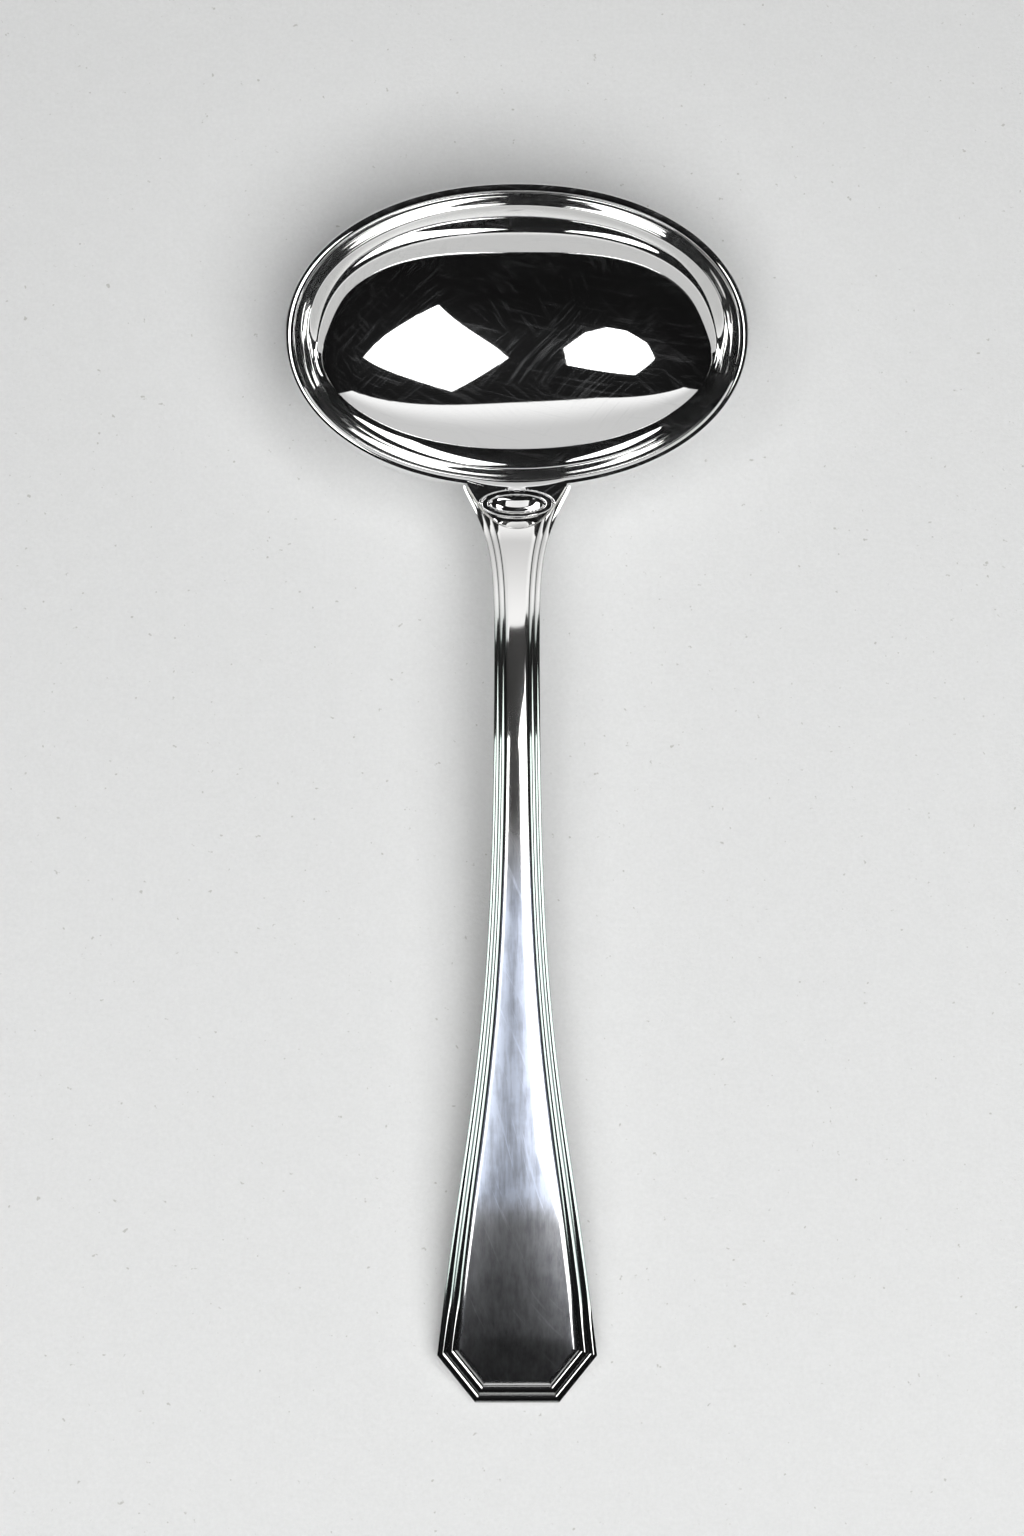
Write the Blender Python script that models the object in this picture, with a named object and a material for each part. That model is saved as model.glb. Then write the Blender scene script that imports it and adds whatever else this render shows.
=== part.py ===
"""Sauce ladle: an oval bowl set crosswise on a curved handle with a threaded border and a clipped end.

Three pieces, as it is made: a pressed bowl whose dished tongue runs out over the neck, a stamped handle
with a pocket for that tongue, and the film of silver solder between them. Metres, +Z up. The pieces are made
with the lip level, and then the ladle is laid on the table, Z = 0: it rolls over its bowl until the handle's
end is down. The bowl lies towards +Y, and the origin is under the middle of the ladle's length.
"""

import math
from collections import namedtuple

import bmesh
import bpy
from mathutils import Matrix

MM = 0.001

# Bowl
BOWL_WIDTH = 70.0 * MM  # across the handle, over the lip
BOWL_SPAN = 46.2 * MM  # along the handle, over the lip
BOWL_DEPTH = 19.0 * MM  # inside, from the lip down
BOWL_WALL = 0.9 * MM
LIP_WIDTH = 1.35 * MM
LIP_ROLL = 0.95 * MM  # radius of the lip's inner edge
PLAN_SQUARENESS = 2.1  # 2 is an ellipse
WALL_FULLNESS = 2.2  # 2 is an elliptical section, more is a flatter floor and a steeper wall
NEAR_FULLNESS = 0.85  # added on the handle's side and taken off on the far side, which sweeps up
END_FULLNESS = 0.75  # added at the two ends of the oval
SIDE_FULLNESS = 0.5  # added at its two long sides
SWEEP_RUN = 6.0 * MM  # distance over which the near wall's fullness changes to the far wall's
FLOOR_LEAN = 0.05  # the floor falls a little towards the far side

# Tongue that the bowl sends out over the neck
TONGUE_WIDTH = 15.2 * MM
TONGUE_REACH = 6.2 * MM  # beyond the lip
TONGUE_THICK = 1.4 * MM
TONGUE_FULLNESS = 2.2  # roundness of its U-shaped edge
ROLL_RADIUS = 1.8 * MM  # the wall rolls over into the tongue
HOLLOW_WIDTH = 11.4 * MM
# The tongue's hollow: shares of the way from the roll to the tongue's edge, and the slope at each
HOLLOW_SLOPES = ((0.0, 0.0), (0.12, -0.38), (0.26, 0.0), (0.42, 0.32), (0.62, 0.0), (1.0, -0.5))

# Joint at the neck
FIT_GAP = 0.25 * MM  # left all round each piece
SOLDER_THICK = 0.35 * MM
SOLDER_LEAST_REACH = 1.5 * MM  # the film stops where the tongue is shorter than this
SHOULDER_TIP = 0.25 * MM  # the neck beside the tongue, at the lip
HEEL_METAL = 4.2 * MM  # the neck under the pocket, at the lip
HEEL_RUN = 9.0 * MM  # the heel tapers off along the stem
HEEL_ROUND = 0.8  # share of the heel's thickness that rounds off below

# Handle, seen from above. Distances run from the lip, or back from the end.
HANDLE_LENGTH = 136.0 * MM  # lip to end
ROOT_BITE = 6.0 * MM  # the root starts this far inside the lip, and the bowl's outside trims it
WAIST_WIDTH = 6.6 * MM
NECK_OVERRUN = 0.57 * MM  # the neck's flare is this much longer than the tongue
NECK_CURVE = 1.3
END_WIDTH = 23.35 * MM  # widest, at the clipped corners
END_EDGE = 12.3 * MM  # the straight edge between the clips
CLIP_LENGTH = 6.9 * MM  # along the handle
FLARE_FROM_END = 61.9 * MM  # middle of the bend from waist to flare
FLARE_SOFTNESS = 13.95 * MM
FLARE_SWELL = 0.51 * MM  # the flare's sides are a little full
SWELL_FROM_END = 24.2 * MM
SWELL_RUN = 20.6 * MM

# Handle, seen from the side with the lip level. Its slope changes evenly from place to place.
ROOT_STAND = 0.35 * MM  # the shoulders stand above the lip
RISE_AT = 8.5 * MM  # where the neck climbs most steeply
RISE_SLOPE = 0.42
STEM_AT = 42.0 * MM  # where the neck's curve runs out into the straight stem
STEM_SLOPE = 0.12
BEND_FROM_END = 36.5 * MM  # where the stem starts to turn down
TIP_FROM_END = 6.5 * MM
TIP_SLOPE = -0.15
STEM_THICK = 3.8 * MM
END_THICK = 2.4 * MM
THICK_UNTIL = 26.0 * MM  # the stem keeps its thickness up to here
THIN_FROM_END = 14.0 * MM
UNDERSIDE_ROUND = 0.45  # share of the stem's thickness that rounds off below
UNDERSIDE_INSET = 0.6  # most of the half width that the rounding takes

# Threaded border, in thread widths
THREADS = 2
THREAD_LEAST = 0.635 * MM  # thread width on a stem of no width
THREAD_GROWTH = 0.0267  # thread width gained per width of the handle
THREAD_RISE = 0.2
THREAD_STEP = 0.07  # each thread lies this much higher than the one outside it
PANEL_STAND = 0.55  # the panel above the outer edge
PANEL_SLOPE = 0.7  # width of the panel's sloping edge
SLOPE_REST = 0.35  # share of the climb that is left half way up that slope
PANEL_CROWN = 0.068  # rise of the panel per half width
CROWN_FADE = 5.0 * MM  # the crown dies away before the end

# Ladle on the table
MOST_ROLL = math.radians(40.0)
REST_FLAT = 0.35 * MM  # ground off the bowl and the handle's end where they rest
NEAR_TABLE = 0.005 * MM  # points this near the table count as on it

# Fineness of the meshes
TONGUE_COLUMNS = 18
RIM_COLUMNS = 66
RINGS = 13
RING_CROWDING = 1.35  # rings lie closer together towards the lip
LIP_STEPS = 6
ROOT_STATIONS = 17
STEM_STATIONS = 32
THREAD_POINTS = 4
UNDER_STEPS = 4
PANEL_COLUMNS = 5
CRISP_ANGLE = 35.0  # degrees, edges sharper than this stay crisp
HALVINGS = 40  # when a place on the wall or the roll is searched for
NEARBY = 0.01 * MM  # step that a slope is measured over
CUTTER_HEIGHT = 20.0 * MM

BOWL_CENTRE_Y = HANDLE_LENGTH / 2
LIP_Y = BOWL_CENTRE_Y - BOWL_SPAN / 2
LIP_Z = BOWL_DEPTH + BOWL_WALL
POCKET_DEPTH = TONGUE_THICK + SOLDER_THICK + 2 * FIT_GAP
NECK_WIDTH = TONGUE_WIDTH + 2 * (FIT_GAP + SHOULDER_TIP)
NECK_RUN = TONGUE_REACH + NECK_OVERRUN
CLIP_AT = HANDLE_LENGTH - CLIP_LENGTH

Shell = namedtuple("Shell", "half_width half_span depth")
Column = namedtuple("Column", "cx cy reach")
Station = namedtuple("Station", "x s inward_x inward_s thread")

INSIDE = Shell(BOWL_WIDTH / 2 - LIP_WIDTH, BOWL_SPAN / 2 - LIP_WIDTH, BOWL_DEPTH)


def outside(grow):
    """The bowl's outside, grown all round."""
    return Shell(BOWL_WIDTH / 2 + grow, BOWL_SPAN / 2 + grow, BOWL_DEPTH + BOWL_WALL + grow)


def clear_scene():
    for obj in list(bpy.data.objects):
        bpy.data.objects.remove(obj, do_unlink=True)


def metal(name, colour, roughness):
    material = bpy.data.materials.new(name)
    material.use_nodes = True
    shader = material.node_tree.nodes["Principled BSDF"]
    shader.inputs["Base Color"].default_value = (*colour, 1.0)
    shader.inputs["Metallic"].default_value = 1.0
    shader.inputs["Roughness"].default_value = roughness
    return material


def closed_object(name, points, faces, material):
    """A closed mesh of triangles facing out, shaded smooth apart from its crisp edges."""
    mesh = bpy.data.meshes.new(name)
    mesh.from_pydata(points, [], faces)
    shape = bmesh.new()
    shape.from_mesh(mesh)
    bmesh.ops.recalc_face_normals(shape, faces=shape.faces)
    bmesh.ops.triangulate(shape, faces=shape.faces)
    shape.to_mesh(mesh)
    shape.free()
    mesh.shade_smooth()
    mesh.set_sharp_from_angle(angle=math.radians(CRISP_ANGLE))
    if material:
        mesh.materials.append(material)
    obj = bpy.data.objects.new(name, mesh)
    bpy.context.collection.objects.link(obj)
    return obj


def signed_power(value, power):
    return math.copysign(abs(value) ** power, value)


def rim_columns(grow):
    """Unit points round the rim from above, with the tongue's reach at each, crowded on the tongue."""
    tongue_half = TONGUE_WIDTH / 2 + grow
    columns = []
    for i in range(TONGUE_COLUMNS + 1):
        swing = math.sin(math.pi * (i / TONGUE_COLUMNS - 0.5))
        cx = swing * tongue_half / (BOWL_WIDTH / 2 + grow)
        cy = -((1 - abs(cx) ** PLAN_SQUARENESS) ** (1 / PLAN_SQUARENESS))
        columns.append(Column(cx, cy, TONGUE_REACH * (1 - abs(swing) ** TONGUE_FULLNESS)))
    corner = math.acos(columns[-1].cx ** (PLAN_SQUARENESS / 2))
    for i in range(1, RIM_COLUMNS):
        angle = -corner + (math.pi + 2 * corner) * i / RIM_COLUMNS
        cx = signed_power(math.cos(angle), 2 / PLAN_SQUARENESS)
        cy = signed_power(math.sin(angle), 2 / PLAN_SQUARENESS)
        columns.append(Column(cx, cy, 0.0))
    return columns


def wall_drop(shell, column, share):
    """How far the wall lies below the lip, at a share of the way out along a column."""
    x = column.cx * shell.half_width * share
    y = column.cy * shell.half_span * share
    fullness = WALL_FULLNESS - NEAR_FULLNESS * math.tanh(y / SWEEP_RUN)
    fullness += END_FULLNESS * (x / shell.half_width) ** 2 + SIDE_FULLNESS * (y / shell.half_span) ** 2
    lean = 1 + FLOOR_LEAN * y / shell.half_span
    return shell.depth * max(0.0, 1 - share**2) ** (1 / fullness) * lean


def share_at_drop(shell, column, drop):
    """How far out along a column the wall comes up to a given drop below the lip."""
    low, high = 0.0, 1.0
    for _ in range(HALVINGS):
        middle = (low + high) / 2
        if wall_drop(shell, column, middle) > drop:
            low = middle
        else:
            high = middle
    return low


def wall_points(shell, column, drop):
    """Points up the wall from the first ring round the middle to a given drop below the lip."""
    steepest = math.asin(share_at_drop(shell, column, drop))
    points = []
    for ring in range(1, RINGS + 1):
        share = math.sin(steepest * (1 - (1 - ring / RINGS) ** RING_CROWDING))
        x = column.cx * shell.half_width * share
        y = BOWL_CENTRE_Y + column.cy * shell.half_span * share
        points.append((x, y, LIP_Z - wall_drop(shell, column, share)))
    return points


def roll_radius(column):
    """The wall rolls over into the lip, and more roundly into the tongue where there is one."""
    return LIP_ROLL + (ROLL_RADIUS - LIP_ROLL) * column.reach / TONGUE_REACH


def climb(slopes, at):
    """Height gained along a line whose slope changes evenly from place to place."""
    height = 0.0
    for (start, slope), (end, next_slope) in zip(slopes, slopes[1:]):
        run = min(max(at - start, 0.0), end - start)
        height += run * slope + run * run * (next_slope - slope) / (2 * (end - start))
    return height


def hollow_drop(x, along):
    """Depth of the tongue's hollow, which fades out to either side."""
    share = max(0.0, 1 - (2 * x / HOLLOW_WIDTH) ** 2) ** 2
    return -share * TONGUE_REACH * climb(HOLLOW_SLOPES, along)


def lip_points(column):
    """Points from the wall's roll out to the lip's edge, or over the hollowed tongue to its edge."""
    edge = outside(0.0)
    start_x = column.cx * INSIDE.half_width
    start_y = column.cy * INSIDE.half_span
    run_x = column.cx * edge.half_width - start_x
    run_y = column.cy * edge.half_span - column.reach - start_y
    radius = roll_radius(column)
    roll = radius / math.hypot(run_x, run_y)
    half_turn = 1 - math.sqrt(0.5)
    profile = [(roll * half_turn, radius * half_turn)]
    for step in range(LIP_STEPS + 1):
        along = step / LIP_STEPS
        profile.append((roll + (1 - roll) * along, hollow_drop(column.cx * edge.half_width, along)))
    points = []
    for out, drop in profile:
        points.append((start_x + run_x * out, BOWL_CENTRE_Y + start_y + run_y * out, LIP_Z - drop))
    return points


def outer_points(column, grow, under):
    """Points from below the lip's or the tongue's edge back to the wall, then down to the middle."""
    shell = outside(grow)
    tongue_share = min(1.0, column.reach / under)
    x = column.cx * shell.half_width
    y = BOWL_CENTRE_Y + column.cy * shell.half_span - column.reach
    edge = (x, y, LIP_Z - under * (0.5 + 0.5 * tongue_share))
    return [edge] + wall_points(shell, column, under)[::-1]


def capped_grid(rows_by_column, first_cap, last_cap):
    """Points and faces of rows that run round from column to column, closed by a point at either end."""
    points = [point for rows in rows_by_column for point in rows]
    count = len(rows_by_column[0])
    columns = len(rows_by_column)
    first = len(points)
    points += [first_cap, last_cap]
    faces = []
    for column in range(columns):
        here = column * count
        beside = (column + 1) % columns * count
        faces.append((first, here, beside))
        faces.append((first + 1, beside + count - 1, here + count - 1))
        for row in range(count - 1):
            faces.append((here + row, here + row + 1, beside + row + 1, beside + row))
    return points, faces


def make_bowl(material):
    """The pressed shell: up the inside, over the lip and the tongue, and down the outside."""
    rows = []
    for column in rim_columns(0.0):
        row = wall_points(INSIDE, column, roll_radius(column))
        row += lip_points(column)
        rows.append(row + outer_points(column, 0.0, TONGUE_THICK))
    floor = (0.0, BOWL_CENTRE_Y, LIP_Z - BOWL_DEPTH)
    foot = (0.0, BOWL_CENTRE_Y, 0.0)
    return closed_object("bowl", *capped_grid(rows, floor, foot), material)


def make_bowl_room():
    """Cutter: the room that the bowl, its tongue and the solder take up, open upwards."""
    top = LIP_Z + CUTTER_HEIGHT
    shell = outside(FIT_GAP)
    rows = []
    for column in rim_columns(FIT_GAP):
        x = column.cx * shell.half_width
        y = BOWL_CENTRE_Y + column.cy * shell.half_span - column.reach
        rows.append([(x, y, top)] + outer_points(column, FIT_GAP, POCKET_DEPTH))
    middle = (0.0, BOWL_CENTRE_Y, top)
    foot = (0.0, BOWL_CENTRE_Y, 0.0)
    room = closed_object("bowl_room", *capped_grid(rows, middle, foot), None)
    room.hide_render = True
    room.display_type = "WIRE"
    return room


def make_solder_film(material):
    """The film lies under the tongue, from the bowl's wall to the tongue's edge."""
    top = LIP_Z - TONGUE_THICK - FIT_GAP
    wall = outside(FIT_GAP)
    edge = outside(0.0)
    columns = [column for column in rim_columns(0.0) if column.reach > SOLDER_LEAST_REACH]
    outline = []
    for column in columns:
        outline.append((column.cx * edge.half_width, column.cy * edge.half_span - column.reach))
    for column in reversed(columns):
        outline.append((column.cx * wall.half_width, column.cy * wall.half_span))
    count = len(outline)
    points = [(x, BOWL_CENTRE_Y + y, top - down) for down in (0.0, SOLDER_THICK) for x, y in outline]
    faces = [tuple(range(count)), tuple(range(count, 2 * count))]
    for i in range(count):
        after = (i + 1) % count
        faces.append((i, after, count + after, count + i))
    return closed_object("solder_film", points, faces, material)


def flare_growth(s):
    """Nothing along the waist, then a smooth bend into a straight flare."""
    return math.log1p(math.exp((s - HANDLE_LENGTH + FLARE_FROM_END) / FLARE_SOFTNESS))


def flare_swell(s):
    """How much fuller than straight the flare's side is."""
    return FLARE_SWELL * math.exp(-(((s - HANDLE_LENGTH + SWELL_FROM_END) / SWELL_RUN) ** 2))


def half_width(s):
    """Half the handle's width at a distance from the lip."""
    waist = WAIST_WIDTH / 2
    neck = (NECK_WIDTH / 2 - waist) * math.exp(-((max(s, 0.0) / NECK_RUN) ** NECK_CURVE))
    straight = END_WIDTH / 2 - waist - flare_swell(CLIP_AT)
    return waist + neck + flare_growth(s) / flare_growth(CLIP_AT) * straight + flare_swell(s)


def side_slope(s):
    """How fast the handle widens at a distance from the lip."""
    return (half_width(s + NEARBY) - half_width(s - NEARBY)) / (2 * NEARBY)


def top_line(s):
    """Height of the handle's panel: up the neck, along the stem and over to its end."""
    slopes = (
        (-ROOT_BITE, 0.0),
        (0.0, 0.0),
        (RISE_AT, RISE_SLOPE),
        (STEM_AT, STEM_SLOPE),
        (HANDLE_LENGTH - BEND_FROM_END, STEM_SLOPE),
        (HANDLE_LENGTH - TIP_FROM_END, TIP_SLOPE),
        (HANDLE_LENGTH, TIP_SLOPE),
    )
    return LIP_Z + ROOT_STAND + climb(slopes, s)


def smooth_step(share):
    share = min(1.0, max(0.0, share))
    return share * share * (3 - 2 * share)


def heel_share(s):
    """1 at the lip, and nothing once the heel has tapered off."""
    return math.exp(-((max(s, 0.0) / HEEL_RUN) ** 2))


def bottom_line(s):
    """Height of the underside: the stem thins towards its end, and the heel thickens the root."""
    thin_from = HANDLE_LENGTH - THIN_FROM_END
    thinned = smooth_step((s - THICK_UNTIL) / (thin_from - THICK_UNTIL))
    thickness = STEM_THICK + (END_THICK - STEM_THICK) * thinned
    heel = top_line(0.0) - STEM_THICK - (LIP_Z - POCKET_DEPTH - HEEL_METAL)
    return top_line(s) - thickness - heel * heel_share(s)


def border_rows():
    """Distance in from the edge and height against the panel, in thread widths."""
    rows = []
    for i in range(THREADS * THREAD_POINTS):
        thread, point = divmod(i, THREAD_POINTS)
        share = point / THREAD_POINTS
        level = THREAD_STEP * thread - PANEL_STAND
        rows.append((thread + share, level + THREAD_RISE * math.sin(math.pi * share)))
    groove = THREAD_STEP * THREADS - PANEL_STAND
    rows.append((THREADS, groove))
    rows.append((THREADS + PANEL_SLOPE / 2, SLOPE_REST * groove))
    rows.append((THREADS + PANEL_SLOPE, 0.0))
    return rows


def thread_width(x):
    """Width of a thread where the handle is this wide from its middle to its side."""
    return THREAD_LEAST + THREAD_GROWTH * 2 * x


def mitre(first, second):
    """The way in from a corner that keeps the border's rows as far from one side as from the other."""
    share = 1 + first[0] * second[0] + first[1] * second[1]
    return (first[0] + second[0]) / share, (first[1] + second[1]) / share


def handle_stations():
    """One side of the handle's outline from root to end, with the way in that its threads are set off by."""
    root_end = RISE_AT + NECK_RUN / 2
    border = (THREADS + PANEL_SLOPE) * thread_width(END_WIDTH / 2)
    stem_end = CLIP_AT - 2 * border * CLIP_LENGTH / (CLIP_LENGTH + END_WIDTH)
    distances = [-ROOT_BITE + (root_end + ROOT_BITE) * i / ROOT_STATIONS for i in range(ROOT_STATIONS)]
    distances += [root_end + (stem_end - root_end) * i / STEM_STATIONS for i in range(STEM_STATIONS + 1)]
    stations = []
    for s in distances:
        x = half_width(s)
        stations.append(Station(x, s, -math.hypot(1, side_slope(s)), 0.0, thread_width(x)))
    widest = half_width(CLIP_AT)
    thread = thread_width(widest)
    clip_x = END_EDGE / 2 - widest
    clip = math.hypot(clip_x, CLIP_LENGTH)
    clip_in = (-CLIP_LENGTH / clip, clip_x / clip)
    side = math.hypot(1, side_slope(CLIP_AT))
    side_in = (-1 / side, side_slope(CLIP_AT) / side)
    end_in = (0.0, -1.0)
    stations.append(Station(widest, CLIP_AT, *mitre(side_in, clip_in), thread))
    stations.append(Station(END_EDGE / 2, HANDLE_LENGTH, *mitre(clip_in, end_in), thread))
    return stations


def handle_section(station):
    """Half a section as two rows of points from the edge in: over the border, and round the underside."""
    over = []
    for out, level in border_rows():
        inset = out * station.thread
        s = station.s + station.inward_s * inset
        over.append((station.x + station.inward_x * inset, s, top_line(s) + level * station.thread))
    thickness = top_line(station.s) - bottom_line(station.s)
    round_share = UNDERSIDE_ROUND + (HEEL_ROUND - UNDERSIDE_ROUND) * heel_share(station.s)
    round_height = round_share * thickness
    round_inset = min(round_height, UNDERSIDE_INSET * station.x)
    under = []
    for step in range(UNDER_STEPS + 1):
        turn = math.pi / 2 * step / UNDER_STEPS
        inset = round_inset * (1 - math.cos(turn))
        s = station.s + station.inward_s * inset
        lift = round_height * (1 - math.sin(turn))
        under.append((station.x + station.inward_x * inset, s, bottom_line(s) + lift))
    return over, under


def moved_across(point, share, crown):
    """A point on the line over to the handle's other side, from share 1 at this side to -1 at the other."""
    x, s, z = point
    fade = smooth_step((HANDLE_LENGTH - s) / CROWN_FADE - 1)
    return (x * share, s, z + crown * x * (1 - share * share) * fade)


def make_handle(material):
    """Sections lofted from root to end, closed by a cap in the bowl's room and by the straight end edge."""
    shares = [1 - 2 * (i + 1) / (PANEL_COLUMNS + 1) for i in range(PANEL_COLUMNS)]
    loops = []
    for over, under in [handle_section(station) for station in handle_stations()]:
        loop = over + [moved_across(over[-1], share, PANEL_CROWN) for share in shares]
        loop += [moved_across(point, -1, 0.0) for point in reversed(over)]
        loop += [moved_across(point, -1, 0.0) for point in under]
        loop += [moved_across(under[-1], -share, 0.0) for share in shares]
        loops.append(loop + under[::-1])
    count = len(loops[0])
    faces = [tuple(range(count))]
    for first in range(0, (len(loops) - 1) * count, count):
        for j in range(count):
            after = (j + 1) % count
            faces.append((first + j, first + after, first + count + after, first + count + j))

    over_rows = len(over)
    under_rows = len(under)
    end_lines = []
    for j in range(over_rows - 1, -under_rows - 1, -1):
        end_lines.append([j % count, (2 * over_rows + PANEL_COLUMNS - 1 - j) % count])
    end_lines[0][1:1] = range(over_rows, over_rows + PANEL_COLUMNS)
    end_lines[-1][1:1] = range(count - under_rows - 1, count - under_rows - 1 - PANEL_COLUMNS, -1)
    last = (len(loops) - 1) * count
    for upper, lower in zip(end_lines, end_lines[1:]):
        faces.append([last + j for j in upper + lower[::-1]])

    points = [(x, LIP_Y - s, z) for loop in loops for x, s, z in loop]
    return closed_object("handle", points, faces, material)


def cut(obj, cutter):
    modifier = obj.modifiers.new("room_for_" + cutter.name, "BOOLEAN")
    modifier.operation = "DIFFERENCE"
    modifier.solver = "EXACT"
    modifier.object = cutter


def lowest(obj, roll):
    return min((roll @ vertex.co).z for vertex in obj.data.vertices)


def resting_roll(bowl, handle):
    """The roll towards the handle at which its end comes down to the table together with the bowl."""
    low, high = 0.0, MOST_ROLL
    for _ in range(HALVINGS):
        middle = (low + high) / 2
        roll = Matrix.Rotation(middle, 4, "X")
        if lowest(handle, roll) > lowest(bowl, roll):
            low = middle
        else:
            high = middle
    return Matrix.Rotation(low, 4, "X")


def grind_flat(mesh):
    """Takes off what lies below the table and closes the flat that is left."""
    shape = bmesh.new()
    shape.from_mesh(mesh)
    trimmed = bmesh.ops.bisect_plane(
        shape,
        geom=[*shape.verts, *shape.edges, *shape.faces],
        dist=NEAR_TABLE,
        plane_co=(0.0, 0.0, 0.0),
        plane_no=(0.0, 0.0, 1.0),
        clear_inner=True,
    )
    rim = [element for element in trimmed["geom_cut"] if isinstance(element, bmesh.types.BMEdge)]
    for edge in rim:
        for corner in edge.verts:
            corner.co.z = 0.0
    bmesh.ops.edgeloop_fill(shape, edges=rim)
    bmesh.ops.triangulate(shape, faces=shape.faces)
    bmesh.ops.recalc_face_normals(shape, faces=shape.faces)
    shape.to_mesh(mesh)
    shape.free()
    mesh.shade_smooth()
    mesh.set_sharp_from_angle(angle=math.radians(CRISP_ANGLE))


def lay_on_table(bowl, handle, others):
    """Rolls the ladle until its handle's end is down, and grinds a flat where each end rests."""
    roll = resting_roll(bowl, handle)
    lengths = [(roll @ vertex.co).y for obj in (bowl, handle) for vertex in obj.data.vertices]
    middle = (min(lengths) + max(lengths)) / 2
    place = Matrix.Translation((0.0, -middle, -lowest(bowl, roll) - REST_FLAT)) @ roll
    for obj in (bowl, handle, *others):
        obj.data.transform(place)
    grind_flat(bowl.data)
    grind_flat(handle.data)


clear_scene()
bowl = make_bowl(metal("mirror_silver", (0.93, 0.92, 0.9), 0.05))
film = make_solder_film(metal("silver_solder", (0.78, 0.76, 0.72), 0.35))
handle = make_handle(metal("brushed_silver", (0.91, 0.9, 0.88), 0.14))
bowl_room = make_bowl_room()
cut(handle, bowl_room)
lay_on_table(bowl, handle, [film, bowl_room])
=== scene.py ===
"""Looks of the sauce ladle: polished bowl, threaded handle and the seam between them, in a small studio."""

import math
from collections import namedtuple

import bmesh
import bpy
from mathutils import Matrix, Vector, kdtree


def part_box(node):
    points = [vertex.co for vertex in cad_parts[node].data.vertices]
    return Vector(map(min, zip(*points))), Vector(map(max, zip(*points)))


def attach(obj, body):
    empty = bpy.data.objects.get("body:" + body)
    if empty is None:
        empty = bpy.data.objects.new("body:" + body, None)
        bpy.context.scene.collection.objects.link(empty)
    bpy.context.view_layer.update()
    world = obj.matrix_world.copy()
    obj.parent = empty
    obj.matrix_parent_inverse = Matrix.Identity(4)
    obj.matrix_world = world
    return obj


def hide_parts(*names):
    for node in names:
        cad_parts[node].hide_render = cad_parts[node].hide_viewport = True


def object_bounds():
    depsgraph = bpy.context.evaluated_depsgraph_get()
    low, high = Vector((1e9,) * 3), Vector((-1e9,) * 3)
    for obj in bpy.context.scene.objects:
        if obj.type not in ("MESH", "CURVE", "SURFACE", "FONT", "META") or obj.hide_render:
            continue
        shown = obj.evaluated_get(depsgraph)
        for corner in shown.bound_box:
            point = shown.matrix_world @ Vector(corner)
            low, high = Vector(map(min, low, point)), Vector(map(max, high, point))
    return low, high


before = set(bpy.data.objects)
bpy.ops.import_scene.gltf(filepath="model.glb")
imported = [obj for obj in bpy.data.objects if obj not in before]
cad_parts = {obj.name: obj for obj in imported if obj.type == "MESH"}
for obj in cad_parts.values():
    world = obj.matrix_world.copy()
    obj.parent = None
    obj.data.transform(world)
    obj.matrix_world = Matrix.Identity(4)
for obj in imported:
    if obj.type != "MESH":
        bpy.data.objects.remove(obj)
cad_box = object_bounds()

MM = 0.001

# Bowl
BOWL_SPAN = 46.2 * MM
BOWL_DEPTH = 19.0 * MM
BOWL_WALL = 0.9 * MM
LIP_WIDTH = 1.35 * MM
LIP_ROLL = 0.95 * MM  # radius of the lip's inner edge
LIP_ARRIS = 0.12 * MM  # rounding of its outer edge
LIP_SHARE = 0.5  # thickness of the lip against the tongue's
PLAN_SQUARENESS = 2.1  # 2 is an ellipse
WALL_FULLNESS = 2.2  # 2 is an elliptical section, more is a flatter floor and a steeper wall
NEAR_FULLNESS = 0.85  # added on the handle's side and taken off on the far side
END_FULLNESS = 0.75  # added at the two ends of the oval
SIDE_FULLNESS = 0.5  # added at its two long sides
SWEEP_RUN = 6.0 * MM  # distance over which the near wall's fullness changes to the far wall's
FLOOR_LEAN = 0.05  # the floor falls a little towards the far side

# Tongue that the bowl sends out over the neck
TONGUE_WIDTH = 15.2 * MM
TONGUE_REACH = 6.2 * MM
TONGUE_THICK = 1.4 * MM
TONGUE_FULLNESS = 2.2
ROLL_RADIUS = 1.8 * MM
HOLLOW_WIDTH = 7.4 * MM
HOLLOW_SQUARENESS = 3  # 2 fades out evenly, more stays deep and then fades fast
# The tongue's hollow: shares of the way from the roll to the tongue's edge, and the slope at each
HOLLOW_SLOPES = (
    (0.0, 0.0), (0.12, -0.21), (0.24, 0.0), (0.29, 0.31), (0.46, 0.31), (0.51, 0.0), (1.0, -0.53),
)

# Fine rings in the hollow: half the width and half the length of each
HOLLOW_RINGS = ((4.2 * MM, 1.35 * MM), (5.5 * MM, 2.05 * MM))
RING_MIDDLE = 2.55 * MM  # from the lip
RING_RUN = 0.2 * MM  # from a ring's crest down to its foot
RING_RISE = 0.135 * MM

# Joint at the neck
FIT_GAP = 0.25 * MM
SOLDER_THICK = 0.35 * MM
SEAM_LEAST_REACH = 0.3 * MM  # the seam runs out where the tongue is shorter than this
SEAM_SLIVER = 0.03 * MM  # left between the solder and its neighbours
SEAM_SINK = 0.08 * MM  # the seam lies this far below the tongue's edge
SHOULDER_TIP = 0.25 * MM
HEEL_METAL = 4.2 * MM
HEEL_RUN = 9.0 * MM
HEEL_ROUND = 0.8

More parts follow.
